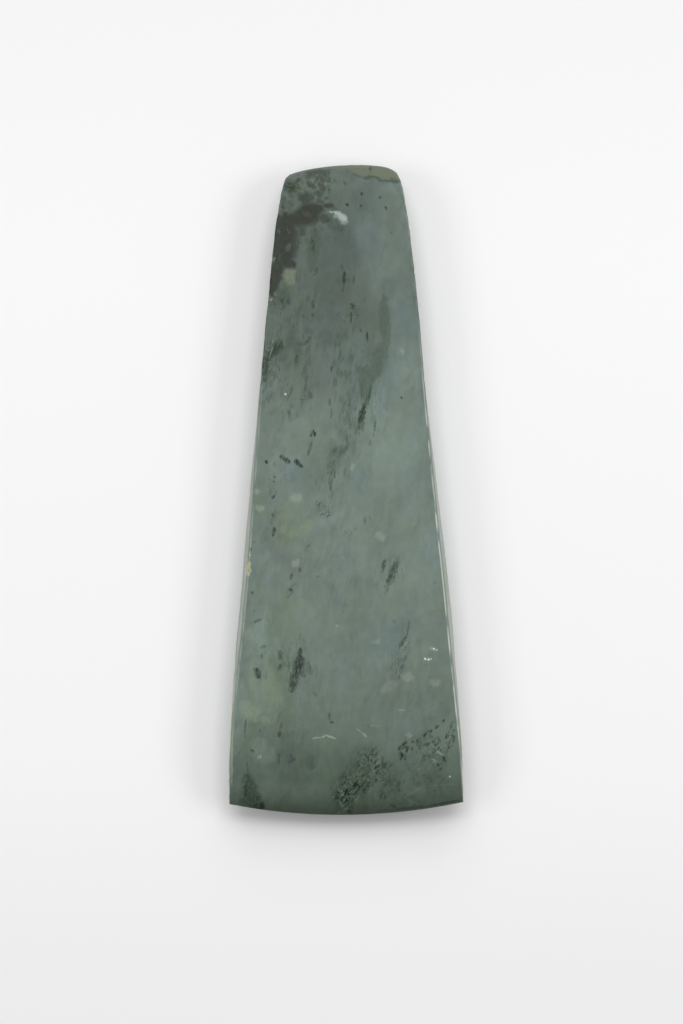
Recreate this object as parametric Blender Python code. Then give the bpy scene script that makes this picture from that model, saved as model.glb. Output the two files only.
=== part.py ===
# A greenstone adze: one ground and polished stone, lying on its flat back with the face up.
# Metres, +Z up. X runs across the blade, -Y is the cutting edge and +Y is the butt.
# The stone is a loft between unlike sections. Rings of points follow the section from the
# butt to the edge, and each end closes where its last ring flattens into a line.

import math

import bmesh
import bpy

LENGTH = 0.190  # from the butt to the middle of the cutting edge
BLADE_WIDTH = 0.0685
BUTT_WIDTH = 0.0346
BUTT_SHIFT = -0.0010  # the butt's middle lies this far to the left of the blade's
THICKNESS = 0.0165
EDGE_HEIGHT = 0.0086  # of the cutting edge above the flat back
EDGE_WEAR = 0.0004  # the worn edge is this thick
BEVEL_LENGTH = 0.030  # ground on the back, up to the edge
FACE_TURN_LENGTH = 0.024  # the face turns down over this length before the edge
FACE_CROWN = 0.0006  # the face's middle stands this far above its arrises
BUTT_THINNING = 0.0015  # the face is this much lower at the butt than at mid-length
BUTT_TOP_DROP = 0.0042  # the face rounds down this far into the butt
BUTT_BACK_LIFT = 0.0024  # the back rounds up this far into the butt
BUTT_ROUND_LENGTH = 0.0075
BUTT_DOME = 0.0009  # the butt's end bulges by this much
LEFT_SHOULDER = 0.0019  # widest ground strip outside the face's left arris
RIGHT_SHOULDER = 0.0023
SHOULDER_SLOPE = 0.85  # how far a shoulder falls for each metre across
SIDE_LEAN_AT_BUTT = 0.30  # how far a side comes in for each metre down
SIDE_LEAN_AT_BLADE = 0.58
SIDE_RIDGE = 0.0006  # a side's two ground facets meet this far outside a flat one
BACK_CHINE = 0.0026  # radius between the back and a side, where the stone is thickest

# The butt and the edge are arcs. These say how far each falls behind its foremost point.
BUTT_ARC = 0.0020
BUTT_APEX = 0.20  # place of the butt's foremost point across its half width
BUTT_LEFT_CORNER = 0.0012
BUTT_RIGHT_CORNER = 0.0036
EDGE_ARC = 0.0035
EDGE_LEAN = 0.0003  # the edge's right tip lies this far further back than its left tip

# How sharply each curve sets in: 1 is a straight slope, and more keeps the turn near its end.
FACE_TURN_POWER = 1.9
BEVEL_POWER = 1.55
BUTT_TOP_POWER = 2.4
BUTT_BACK_POWER = 2.0
BUTT_CORNER_POWER = 9

# Share of the way from the butt's width to the blade's, at a share of the side's length.
LEFT_FLARE = [
    (0.0, 0.0),
    (0.035, 0.080),
    (0.10, 0.187),
    (0.195, 0.294),
    (0.355, 0.462),
    (0.515, 0.637),
    (0.675, 0.797),
    (0.835, 0.943),
    (0.93, 0.992),
    (1.0, 1.0),
]
RIGHT_FLARE = [
    (0.0, 0.0),
    (0.031, 0.060),
    (0.095, 0.147),
    (0.19, 0.251),
    (0.352, 0.396),
    (0.513, 0.585),
    (0.674, 0.774),
    (0.835, 0.910),
    (0.93, 0.976),
    (1.0, 1.0),
]
# A shoulder's width as a share of its greatest.
SHOULDER_WIDTHS = [
    (0.0, 0.30),
    (0.30, 0.40),
    (0.50, 0.80),
    (0.65, 1.0),
    (0.80, 0.72),
    (0.92, 0.32),
    (1.0, 0.10),
]

# How half a ring is shared out, in steps from the middle to a side. The face lies over the
# back, and the shoulder over the chine and the side, so that they close onto each other.
FACE_STEPS = 8
CHINE_STEPS = 2
SIDE_STEPS = 4
HALF_STEPS = FACE_STEPS + CHINE_STEPS + SIDE_STEPS

BUTT_RINGS = 7
BODY_RINGS = 26
BLADE_RINGS = 13
BUTT_DOME_RINGS = 3

STONE_COLOUR = (0.135, 0.172, 0.148, 1.0)
STONE_ROUGHNESS = 0.34


def part_way(value, start, end):
    """How far value lies from start to end, from 0 to 1."""
    return min(1.0, max(0.0, (value - start) / (end - start)))


def mix(first, second, share):
    return first + (second - first) * share


def follow(rows, place):
    """The smooth curve through rows of (place, value). Between two rows it never passes either."""
    slopes = [(b[1] - a[1]) / (b[0] - a[0]) for a, b in zip(rows, rows[1:])]
    leans = [slopes[0]]
    for before, after in zip(slopes, slopes[1:]):
        same_way = before * after > 0
        leans.append(2 * before * after / (before + after) if same_way else 0.0)
    leans.append(slopes[-1])
    index = 0
    while index < len(rows) - 2 and place > rows[index + 1][0]:
        index += 1
    (start, low), (end, high) = rows[index], rows[index + 1]
    span = end - start
    s = part_way(place, start, end)
    rise = s * s * (3 - 2 * s)
    first = s * (1 - s) ** 2 * span * leans[index]
    second = s * s * (s - 1) * span * leans[index + 1]
    return mix(low, high, rise) + first + second


def reach(station, side):
    """Half width of the stone on one side (-1 left, 1 right) at a station from 0 to 1."""
    butt = BUTT_WIDTH / 2 + side * BUTT_SHIFT
    flare = RIGHT_FLARE if side > 0 else LEFT_FLARE
    return mix(butt, BLADE_WIDTH / 2, follow(flare, station))


def distance_from_butt(station, across):
    """Stations change from the butt's arc to the edge's. across is -1 at the left, 1 at the right."""
    corner = BUTT_RIGHT_CORNER if across > 0 else BUTT_LEFT_CORNER
    butt = BUTT_DOME + BUTT_ARC * (across - BUTT_APEX) ** 2
    butt += corner * abs(across) ** BUTT_CORNER_POWER
    edge = LENGTH - EDGE_WEAR / 2 - EDGE_ARC * across**2 - EDGE_LEAN * across
    return mix(butt, edge, station)


def butt_rounding(station, power):
    """1 at the butt's end, falling to 0 where its rounding runs out."""
    return (1 - part_way(station, 0, BUTT_ROUND_LENGTH / LENGTH)) ** power


def face_height(station, across):
    distance = distance_from_butt(station, across)
    thinning = BUTT_THINNING * (1 - part_way(distance, 0, LENGTH / 2)) ** 2
    turn = part_way(distance, LENGTH - FACE_TURN_LENGTH, LENGTH) ** FACE_TURN_POWER
    drop = BUTT_TOP_DROP * butt_rounding(station, BUTT_TOP_POWER)
    crown = FACE_CROWN * (1 - turn) * across**2
    return mix(THICKNESS, EDGE_HEIGHT, turn) - thinning - drop - crown


def back_height(station, across):
    lift = BUTT_BACK_LIFT * butt_rounding(station, BUTT_BACK_POWER)
    bevel = part_way(station, 1 - BEVEL_LENGTH / LENGTH, 1) ** BEVEL_POWER
    return lift + bevel * (face_height(1.0, across) - EDGE_WEAR)


def upper_point(station, side, step):
    """Point on the face or shoulder, some steps from the middle: distance across, and height."""
    half = reach(station, side)
    shoulder = (RIGHT_SHOULDER if side > 0 else LEFT_SHOULDER) * follow(SHOULDER_WIDTHS, station)
    on_face = part_way(step, 0, FACE_STEPS)
    on_shoulder = part_way(step, FACE_STEPS, HALF_STEPS)
    across = (half - shoulder) * on_face + shoulder * on_shoulder
    fall = max(shoulder * SHOULDER_SLOPE, EDGE_WEAR / 2) * (on_shoulder + on_shoulder**2) / 2
    return across, face_height(station, side * across / half) - fall


def lower_point(station, side, step):
    """Point on the back, chine or side, some steps from the middle: distance across, and height."""
    widest, widest_height = upper_point(station, side, HALF_STEPS)
    base = back_height(station, side)
    high = widest_height - base
    lean = mix(SIDE_LEAN_AT_BUTT, SIDE_LEAN_AT_BLADE, station)
    chine = BACK_CHINE * high / THICKNESS
    chine_turn = math.atan2(1, lean)
    side_high = high - chine * (1 - math.cos(chine_turn))
    flat = widest - lean * side_high - chine * math.sin(chine_turn)
    on_back = part_way(step, 0, FACE_STEPS)
    turned = chine_turn * part_way(step, FACE_STEPS, FACE_STEPS + CHINE_STEPS)
    on_side = part_way(step, FACE_STEPS + CHINE_STEPS, HALF_STEPS)
    ridge = SIDE_RIDGE * high / THICKNESS * (1 - abs(2 * on_side - 1))
    across = flat * on_back + chine * math.sin(turned) + lean * side_high * on_side + ridge
    height = mix(back_height(station, 0), base, on_back**2)
    return across, height + chine * (1 - math.cos(turned)) + side_high * on_side


def ring_points(station, closing):
    """One ring, left to right over the face and back under. closing flattens it, from 0 to 1."""
    steps = range(-HALF_STEPS, HALF_STEPS + 1)
    upper, lower = [], []
    for step in steps:
        side = 1 if step > 0 else -1
        top = upper_point(station, side, abs(step))
        under = lower_point(station, side, abs(step))
        middle = [(a + b) / 2 for a, b in zip(top, under)]
        for row, point in ((upper, top), (lower, under)):
            across, height = (mix(a, m, closing) for a, m in zip(point, middle))
            place = distance_from_butt(station, side * across / reach(station, side))
            bulge = BUTT_DOME if station < 0.5 else -EDGE_WEAR / 2
            place -= bulge * (1 - (1 - closing) ** 2)
            row.append((side * across, LENGTH / 2 - place, height))
    return upper + lower[-2:0:-1]


def stations():
    """(station, closing) of each ring, from the butt's closing line to the edge's."""
    butt_end = BUTT_ROUND_LENGTH / LENGTH
    bevel_start = 1 - BEVEL_LENGTH / LENGTH
    rings = [(0.0, 1 - ring / BUTT_DOME_RINGS) for ring in range(BUTT_DOME_RINGS)]
    rings += [(butt_end * (ring / BUTT_RINGS) ** 1.4, 0.0) for ring in range(BUTT_RINGS)]
    rings += [(mix(butt_end, bevel_start, ring / BODY_RINGS), 0.0) for ring in range(BODY_RINGS)]
    rings += [(mix(bevel_start, 1.0, ring / BLADE_RINGS), 0.0) for ring in range(BLADE_RINGS + 1)]
    return rings + [(1.0, 1.0)]


def stone_material():
    material = bpy.data.materials.new("greenstone")
    material.use_nodes = True
    shader = material.node_tree.nodes["Principled BSDF"]
    shader.inputs["Base Color"].default_value = STONE_COLOUR
    shader.inputs["Roughness"].default_value = STONE_ROUGHNESS
    shader.inputs["Metallic"].default_value = 0.0
    material.diffuse_color = STONE_COLOUR
    return material


def loft_mesh(name):
    """Faces between each ring and the next. The two closing lines weld to themselves."""
    loft = bmesh.new()
    rings = [[loft.verts.new(point) for point in ring_points(*place)] for place in stations()]
    for near, far in zip(rings, rings[1:]):
        for index, corner in enumerate(near):
            following = (index + 1) % len(near)
            loft.faces.new((corner, near[following], far[following], far[index]))
    bmesh.ops.remove_doubles(loft, verts=loft.verts, dist=1e-6)
    bmesh.ops.dissolve_degenerate(loft, edges=loft.edges, dist=1e-7)
    bmesh.ops.recalc_face_normals(loft, faces=loft.faces)
    mesh = bpy.data.meshes.new(name)
    loft.to_mesh(mesh)
    loft.free()
    mesh.shade_smooth()
    mesh.set_sharp_from_angle(angle=math.radians(28))
    return mesh


def clear_scene():
    for thing in list(bpy.data.objects):
        bpy.data.objects.remove(thing, do_unlink=True)


def build_adze():
    collection = bpy.data.collections.new("greenstone_adze")
    bpy.context.scene.collection.children.link(collection)
    adze = bpy.data.objects.new("adze", loft_mesh("adze"))
    adze.data.materials.append(stone_material())
    collection.objects.link(adze)
    return adze


clear_scene()
build_adze()
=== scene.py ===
import math

import bpy
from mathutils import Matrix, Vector


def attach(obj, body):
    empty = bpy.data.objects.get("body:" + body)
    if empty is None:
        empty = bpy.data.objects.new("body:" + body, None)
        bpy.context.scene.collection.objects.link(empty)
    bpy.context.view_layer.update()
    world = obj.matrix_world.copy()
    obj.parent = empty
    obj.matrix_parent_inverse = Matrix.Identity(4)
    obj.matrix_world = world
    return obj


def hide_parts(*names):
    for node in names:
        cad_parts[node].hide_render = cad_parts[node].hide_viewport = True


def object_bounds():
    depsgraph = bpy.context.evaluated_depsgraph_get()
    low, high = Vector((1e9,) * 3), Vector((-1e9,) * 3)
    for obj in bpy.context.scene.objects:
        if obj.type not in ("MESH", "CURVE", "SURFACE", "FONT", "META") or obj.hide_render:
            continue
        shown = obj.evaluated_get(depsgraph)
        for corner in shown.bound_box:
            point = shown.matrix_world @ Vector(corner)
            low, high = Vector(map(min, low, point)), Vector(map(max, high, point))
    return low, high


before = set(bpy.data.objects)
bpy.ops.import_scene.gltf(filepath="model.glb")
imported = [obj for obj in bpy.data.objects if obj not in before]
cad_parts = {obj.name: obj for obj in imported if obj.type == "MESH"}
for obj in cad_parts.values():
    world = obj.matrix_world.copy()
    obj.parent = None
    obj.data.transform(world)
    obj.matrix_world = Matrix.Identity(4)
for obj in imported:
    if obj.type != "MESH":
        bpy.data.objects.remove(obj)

# Finish of a greenstone adze: one ground and polished stone that lies on its flat back.
# Metres. X runs across the blade, +Y is the butt and -Y the cutting edge, Z is up.

cadLow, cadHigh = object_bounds()
cadSize = cadHigh - cadLow
print("frame loaded:", [round(side * 1000, 2) for side in cadSize], "mm")


seedSteps = (3.7, 1.9, 5.3)  # how far apart two seeds read the noise


class Wire:
    # A node tree, and one socket in it, so that sums on sockets are written as plain Python.
    def __init__(self, tree, socket=None):
        self.tree, self.socket = tree, socket

    def node(self, kind, settings=None, sockets=None, out=0):
        # settings are set first; bends fill a float curve
        made = self.tree.nodes.new(kind)
        for name, value in (settings or {}).items():
            if name == "bends":
                line = made.mapping.curves[0]
                line.points[0].location, line.points[1].location = value[0], value[-1]
                for place, height in value[1:-1]:
                    line.points.new(place, height)
                made.mapping.update()
            else:
                setattr(made, name, value)
        for name, value in (sockets or {}).items():
            if isinstance(value, Wire):
                self.tree.links.new(value.socket, made.inputs[name])
            else:
                made.inputs[name].default_value = value
        return Wire(self.tree, made.outputs[out])

    def sum(self, operation, *values, clamp=False):
        settings = {"operation": operation, "use_clamp": clamp}
        return self.node("ShaderNodeMath", settings, dict(enumerate(values)))

    def vector(self, operation, *values, out=0):
        return self.node("ShaderNodeVectorMath", {"operation": operation}, dict(enumerate(values)), out)

    def __add__(self, other):
        return self.sum("ADD", self, other)

    __radd__ = __add__

    def __sub__(self, other):
        return self.sum("SUBTRACT", self, other)

    def __rsub__(self, other):
        return self.sum("SUBTRACT", other, self)

    def __mul__(self, other):
        return self.sum("MULTIPLY", self, other)

    __rmul__ = __mul__

    def __truediv__(self, other):
        return self.sum("DIVIDE", self, other)

    def __rtruediv__(self, other):
        return self.sum("DIVIDE", other, self)

    def __pow__(self, other):
        return self.sum("POWER", self, other)

    def __rpow__(self, other):
        return self.sum("POWER", other, self)

    def __gt__(self, other):
        return self.sum("GREATER_THAN", self, other)

    def __lt__(self, other):
        return self.sum("LESS_THAN", self, other)

    def __abs__(self):
        return self.sum("ABSOLUTE", self)

    def __neg__(self):
        return self * -1

    def partWay(self, start, end):
        return self.sum("DIVIDE", self - start, end - start, clamp=True)

    def ease(self, start, end, low=0.0, high=1.0):
        return self.node(
            "ShaderNodeMapRange",
            {"interpolation_type": "SMOOTHSTEP", "clamp": False},
            {"Value": self, "From Min": start, "From Max": end, "To Min": low, "To Max": high},
        )

    def follow(self, bends):
        return self.node("ShaderNodeFloatCurve", {"bends": bends}, {"Value": self})

    def noise(self, size, lean=0.0, detail=2.0, rough=0.5, seed=0.0, out=0):
        # self is a place; size is that of the grain, one number or three
        sizes = size if isinstance(size, tuple) else (size, size, size)
        turned = self
        if lean:
            about = {"rotation_type": "Z_AXIS"}
            turned = self.node("ShaderNodeVectorRotate", about, {"Vector": self, "Angle": -lean})
        fine = tuple(1 / side for side in sizes)
        away = tuple(seed * part for part in seedSteps)
        inGrains = self.vector("MULTIPLY_ADD", turned, fine, away)
        sockets = {"Vector": inGrains, "Scale": 1.0, "Detail": detail, "Roughness": rough}
        return self.node("ShaderNodeTexNoise", None, sockets, out)

    def strayed(self, onto, reach, size, **grain):
        # a place moved about by noise that is read at this one, half of reach each way
        stray = self.vector("SUBTRACT", self.noise(size, out=1, **grain), (0.5, 0.5, 0.5))
        return self.vector("MULTIPLY_ADD", stray, reach, onto)

    def part(self, axis):
        return self.node("ShaderNodeSeparateXYZ", None, {0: self}, axis)

    def mixColour(self, other, share, blend="MIX"):
        settings = {"data_type": "RGBA", "blend_type": blend}
        return self.node("ShaderNodeMix", settings, {0: share, 6: self, 7: other}, 2)

    def feed(self, node, name):
        self.tree.links.new(self.socket, node.inputs[name])


def mix(first, second, share):
    return first + (second - first) * share


def newObject(name, data):
    made = bpy.data.objects.new(name, data)
    bpy.context.scene.collection.objects.link(made)
    return made


def newMaterial(name):
    material = bpy.data.materials.new(name)
    material.use_nodes = True
    return material, Wire(material.node_tree), material.node_tree.nodes["Principled BSDF"]


# The stone. Its main sizes are the solid's, and its relief lies inside it.
stoneSizes = {
    "length": cadSize.y,
    "blade width": cadSize.x,
    "butt width": 0.0346,
    "butt shift": -0.0010,
    "thickness": cadSize.z,
    "edge height": 0.0086,
    "edge wear": 0.0004,
    "bevel length": 0.030,
    "face turn length": 0.024,
    "face crown": 0.0006,
    "butt thinning": 0.0015,
    "butt top drop": 0.0042,
    "butt back lift": 0.0024,
    "butt round length": 0.0075,
    "butt dome": 0.0009,
    "corner wear": 0.0013,
    "corner split": 0.48,  # how far down the side the butt end closes
    "left shoulder": 0.0018,
    "right shoulder": 0.0018,
    "shoulder slope": 0.85,
    "side lean at butt": 0.30,
    "side lean at blade": 0.58,
    "side ridge": 0.0006,
    "back chine": 0.0026,
    "butt arc": 0.0020,
    "butt apex": 0.20,
    "butt left corner": 0.0012,
    "butt right corner": 0.0036,
    "edge arc": 0.0035,
    "edge lean": 0.0003,
    "grinding wobble": 0.00007,  # slow rise and fall of the ground faces
    "shoulder wobble": 0.00016,
    "butt bruising": 0.00020,  # the hammered butt end
    "arris nicks": 0.00022,
    # how suddenly each surface turns
    "face turn power": 1.9,
    "bevel power": 1.55,
    "butt top power": 2.4,
    "butt back power": 2.0,
    "butt corner power": 9.0,
}
stoneCurves = {
    "leftFlare": [
        (0, 0), (0.035, 0.08), (0.1, 0.187), (0.195, 0.294), (0.355, 0.462), (0.515, 0.637), (0.675, 0.797),
        (0.835, 0.943), (0.93, 0.992), (1, 1),
    ],
    "rightFlare": [
        (0, 0), (0.031, 0.06), (0.095, 0.147), (0.19, 0.256), (0.352, 0.407), (0.513, 0.6), (0.674, 0.787),
        (0.835, 0.914), (0.93, 0.976), (1, 1),
    ],
    "shoulderWidths": [
        (0, 0.3), (0.3, 0.4), (0.5, 0.8), (0.65, 1), (0.8, 0.72), (0.92, 0.32), (1, 0.1),
    ],
    # a worn lip, a shallow groove beside it, then two ground facets
    "shoulderFall": [
        (0, 0), (0.06, 0.012), (0.12, 0.055), (0.19, 0.115), (0.25, 0.135), (0.31, 0.16), (0.6, 0.325),
        (0.68, 0.39), (0.8, 0.56), (1, 1),
    ],
}
stoneGrid = {
    "columns": 248,  # round the section, face and back alike
    "domeRows": 8,
    "bodyRows": 366,
    "wearRows": 2,
    "faceShare": 0.76,  # of the columns over half a section, the rest is its shoulder
    "backShare": 0.60,  # under it, the back
    "chineShare": 0.70,  # and up to here its chine, the rest is the side
    "crowding": 1.35,  # towards the arris, where the face is finer
    "buttCrowding": 0.75,  # rows near the butt lie closer
    "buttCrowdingPower": 40,
    "splitReach": 0.06,  # share of the length over which the butt's split line comes back to the arris
    "slideFrom": 0.86,  # from here on the underside's points slide under the top's
    "weld": 3e-6,
}


def stoneLaw(desk, size, grid):
    # Where each point of the grid lies on the stone: the solid's rule, with its corners worn round.
    start = desk.node("GeometryNodeInputPosition")
    turn = (start.part("X") + 0.5) * 2
    lateral = 1 - abs(turn - 1) * 2
    isUnder = turn > 1
    side = desk.sum("SIGN", lateral)
    isRight = lateral > 0
    outwards = abs(lateral)
    edgeRow = grid["domeRows"] + grid["bodyRows"]
    lastRow = edgeRow + grid["wearRows"]
    row = (0.5 - start.part("Y")) * lastRow
    station = row.partWay(grid["domeRows"], edgeRow)
    station = station * (1 - grid["buttCrowding"] * (1 - station) ** grid["buttCrowdingPower"])
    buttClosing = row.partWay(grid["domeRows"], 0)
    edgeClosing = row.partWay(edgeRow, lastRow)
    closing = desk.sum("MAXIMUM", buttClosing, edgeClosing)

    buttHalf = size["butt width"] / 2 + side * size["butt shift"]
    flares = (station.follow(stoneCurves[name]) for name in ("leftFlare", "rightFlare"))
    flare = mix(*flares, isRight)
    fullHalf = mix(buttHalf, size["blade width"] / 2, flare)
    inFromEnd = size["butt dome"] * (1 - buttClosing) ** 2 + station * size["length"]
    worn = 1 - inFromEnd.partWay(0, size["corner wear"])
    half = fullHalf - size["corner wear"] * (1 - (1 - worn**2) ** 0.5)
    corner = mix(size["butt left corner"], size["butt right corner"], isRight)
    shoulder = mix(size["left shoulder"], size["right shoulder"], isRight)
    shoulder = shoulder * station.follow(stoneCurves["shoulderWidths"])
    rounding = 1 - station.partWay(0, size["butt round length"] / size["length"])

    def distanceFromButt(station, across):
        butt = size["butt dome"] + size["butt arc"] * (across - size["butt apex"]) ** 2
        butt = butt + corner * abs(across) ** size["butt corner power"]
        arc = size["edge arc"] * across**2 + size["edge lean"] * across
        return mix(butt, size["length"] - size["edge wear"] / 2 - arc, station)

    def faceHeight(station, across, rounding):
        distance = distanceFromButt(station, across)
        thinning = size["butt thinning"] * (1 - distance.partWay(0, size["length"] / 2)) ** 2
        bend = distance.partWay(size["length"] - size["face turn length"], size["length"])
        bend = bend ** size["face turn power"]
        crown = size["face crown"] * (1 - bend) * abs(across) ** 2
        drop = size["butt top drop"] * rounding ** size["butt top power"]
        return mix(size["thickness"], size["edge height"], bend) - thinning - drop - crown

    def backHeight(across):
        bevel = station.partWay(1 - size["bevel length"] / size["length"], 1) ** size["bevel power"]
        edge = faceHeight(station * 0 + 1, across, 0 * station)
        lift = size["butt back lift"] * rounding ** size["butt back power"]
        return lift + bevel * (edge - size["edge wear"])

    shoulderDrop = desk.sum("MAXIMUM", shoulder * size["shoulder slope"], size["edge wear"] / 2)

    # Under it: back, chine, then side. Near the edge they slide to lie under the top's points.
    level = station.partWay(grid["slideFrom"], 1) ** 2
    backShare = mix(grid["backShare"], grid["faceShare"], level)
    chineShare = mix(grid["chineShare"], (grid["faceShare"] + 1) / 2, level)
    base = backHeight(side)
    high = faceHeight(station, side, rounding) - shoulderDrop - base
    lean = mix(size["side lean at butt"], size["side lean at blade"], station)
    chine = size["back chine"] * high / size["thickness"]
    chineTurn = desk.sum("ARCTAN2", 1, lean)
    sideHigh = high - chine * (1 - desk.sum("COSINE", chineTurn))
    flat = half - lean * sideHigh - chine * desk.sum("SINE", chineTurn)
    onBack = outwards.partWay(0, backShare)
    onChine = outwards.partWay(backShare, chineShare)
    turned = chineTurn * onChine
    split = size["corner split"] * (1 - station.partWay(0, grid["splitReach"])) ** 2
    onSide = outwards.partWay(chineShare, 1) * (1 - split)

    def ridge(spot):
        return size["side ridge"] * high / size["thickness"] * (1 - abs(spot * 2 - 1))

    underAcross = flat * onBack + chine * desk.sum("SINE", turned)
    underAcross = underAcross + lean * sideHigh * onSide + ridge(onSide)
    underHeight = mix(backHeight(side * 0), base, onBack**2)
    underHeight = underHeight + chine * (1 - desk.sum("COSINE", turned)) + sideHigh * onSide

    # Over the top: face, then shoulder, then near the butt the upper part of the side.
    onFace = 1 - (1 - outwards.partWay(0, grid["faceShare"])) ** grid["crowding"]
    pastFace = outwards.partWay(grid["faceShare"], 1)
    onShoulder = pastFace.partWay(0, 1 - split)
    downSide = pastFace.partWay(1 - split, 1) * split
    ledge = (half - shoulder) * onFace + shoulder * onShoulder
    topAcross = ledge - lean * sideHigh * downSide + ridge(1 - downSide)
    fall = shoulderDrop * onShoulder.follow(stoneCurves["shoulderFall"]) + sideHigh * downSide
    topHeight = faceHeight(station, side * ledge / fullHalf, rounding) - fall

    across = mix(topAcross, underAcross, isUnder)
    height = mix(topHeight, underHeight, isUnder)
    across = mix(across, (topAcross + underAcross) / 2, closing)
    height = mix(height, (topHeight + underHeight) / 2, closing)
    place = distanceFromButt(station, side * across / fullHalf)
    closed = 1 - (1 - closing) ** 2
    dome = size["butt dome"] * (buttClosing > 0) - size["edge wear"] / 2 * (edgeClosing > 0)
    place = place - closed * dome
    reach = {0: side * across, 1: size["length"] / 2 - place, 2: height}
    point = desk.node("ShaderNodeCombineXYZ", None, reach)
    # Kept on the mesh, in millimetres: the way past the arris, and the depth down the side.
    pastArris = mix((ledge - half + shoulder) * 1000 + downSide * 12, 5, isUnder)
    buried = mix(downSide, 1 - onSide, isUnder) * sideHigh * 1000 + isUnder * (1 - onChine) * 8
    return point, {"pastArris": pastArris, "buried": buried, "buttEnd": rounding, "closing": closing}


def deepest(desk, place, marks, core):
    # The deepest of some marks. Each fills an ellipse about its two ends, with a soft rim.
    most = None
    for x1, y1, x2, y2, width, strength in marks:
        long = math.hypot(x2 - x1, y2 - y1)
        rim, heart = (2 * math.hypot(long / 2, width * 0.9 * part) for part in (1, core))
        near, far = (desk.vector("DISTANCE", place, (*end, 0), out=1) for end in ((x1, y1), (x2, y2)))
        away = near + far
        ink = away.ease(rim, heart, 0.0, strength)
        most = ink if most is None else desk.sum("MAXIMUM", most, ink)
    return most


# Chips, nicks and cracks as dents: across, along, across, along, width and depth, in millimetres.
stoneDents = {
    "face": [
        (-28.6, -21, -28.6, -24.9, 1.3, 0.22), (-20.9, 67.8, -21, 67.2, 1, 0.25),
        (-22, 55.9, -22.1, 55.1, 1, 0.25), (18.4, -37.8, 17.6, -42.8, 0.6, 0.06),
        (17.6, -42.6, 15.2, -46.2, 0.9, 0.09), (17.5, -48.3, 16, -53, 0.8, 0.07),
        (-13.2, -46.5, -14.4, -53.6, 1.6, 0.06), (-14.4, -52.2, -15.9, -59, 1.2, 0.05),
        (22.9, -49.3, 24.5, -49.5, 0.7, 0.07), (25.6, -46.4, 26.2, -46.6, 0.6, 0.07),
        (-5.9, -71.8, -3.1, -72.4, 0.8, 0.05), (3.4, -69.7, 5.8, -71.5, 0.8, 0.05),
        (-23.6, 38.7, -20.6, 45.4, 0.7, 0.08), (30.4, -70, 30.6, -76, 1, 0.12),
        (-31, -55, -31.4, -60, 0.9, 0.1), (21, 20, 21.4, 16, 0.9, 0.1), (-25.8, 2, -26.2, -3, 0.8, 0.08),
        (9, 90.5, 13, 90, 1.6, 0.08),
    ],
    "back": [
        (6, 58, 10, 50, 5, 0.22), (-9, 24, -6, 14, 4.2, 0.18), (-2, -20, 3, -26, 3.4, 0.14),
        (13, -8, 15, -18, 3.8, 0.16), (-14, -38, -11, -46, 4.4, 0.18), (-4, 80, 2, 76, 4.6, 0.22),
        (8, -52, 14, -55, 2.6, 0.1), (-16, 60, -15, 52, 2.6, 0.14), (20, -30, 21, -38, 2.8, 0.14),
    ],
}


stoneGrains = {  # the grain of the relief in millimetres: across, along, up
    "grinding wobble": (17, 34, 17),
    "shoulder wobble": (1.1, 34, 1.1),
    "arris nicks": (1.6, 3.2, 3),
    "butt bruising": 1.5,
    "dent rims": 2.2,
}


def stoneRelief(desk, size):
    # How deep the ground surface lies under its rule, always inwards.
    grains = stoneGrains
    place = desk.vector("MULTIPLY", desk.node("GeometryNodeInputPosition"), (1000, 1000, 1000))

    def kept(name):
        return desk.node("GeometryNodeInputNamedAttribute", {"data_type": "FLOAT"}, {"Name": name})

    pastArris, buried = kept("pastArris"), kept("buried")
    buttEnd, closing = kept("buttEnd"), kept("closing")
    wobble = place.noise(grains["grinding wobble"], detail=2, seed=1)
    depth = size["grinding wobble"] * wobble
    onShoulder = pastArris.ease(-0.6, 0.5) * buried.ease(9, 5)
    grooves = place.noise(grains["shoulder wobble"], lean=math.radians(3), detail=3, seed=2)
    onBody = buttEnd.ease(0.95, 0.4)
    depth = depth + size["shoulder wobble"] * grooves.ease(0.35, 0.7) * onShoulder * onBody
    nearArris = pastArris.ease(-1.2, -0.1) * pastArris.ease(1.6, 0.4)
    nicks = place.noise(grains["arris nicks"], detail=2, seed=3).ease(0.60, 0.74)
    depth = depth + size["arris nicks"] * nicks * nearArris * onBody
    flat = desk.vector("MULTIPLY", place, (1, 1, 0))
    ragged = place.strayed(flat, (1.6, 1.6, 0), grains["dent rims"], detail=2, seed=8)
    depth = depth + deepest(desk, ragged, stoneDents["face"], 0.2) * buried.ease(6, 1) * 0.001
    depth = depth + deepest(desk, ragged, stoneDents["back"], 0.1) * buried.ease(7, 12) * 0.001
    bruises = place.noise(grains["butt bruising"], detail=3, seed=4).ease(0.30, 0.75)
    depth = depth + size["butt bruising"] * bruises * buttEnd.ease(0.45, 0.95)
    return depth * (1 - closing * 0.7)


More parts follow.
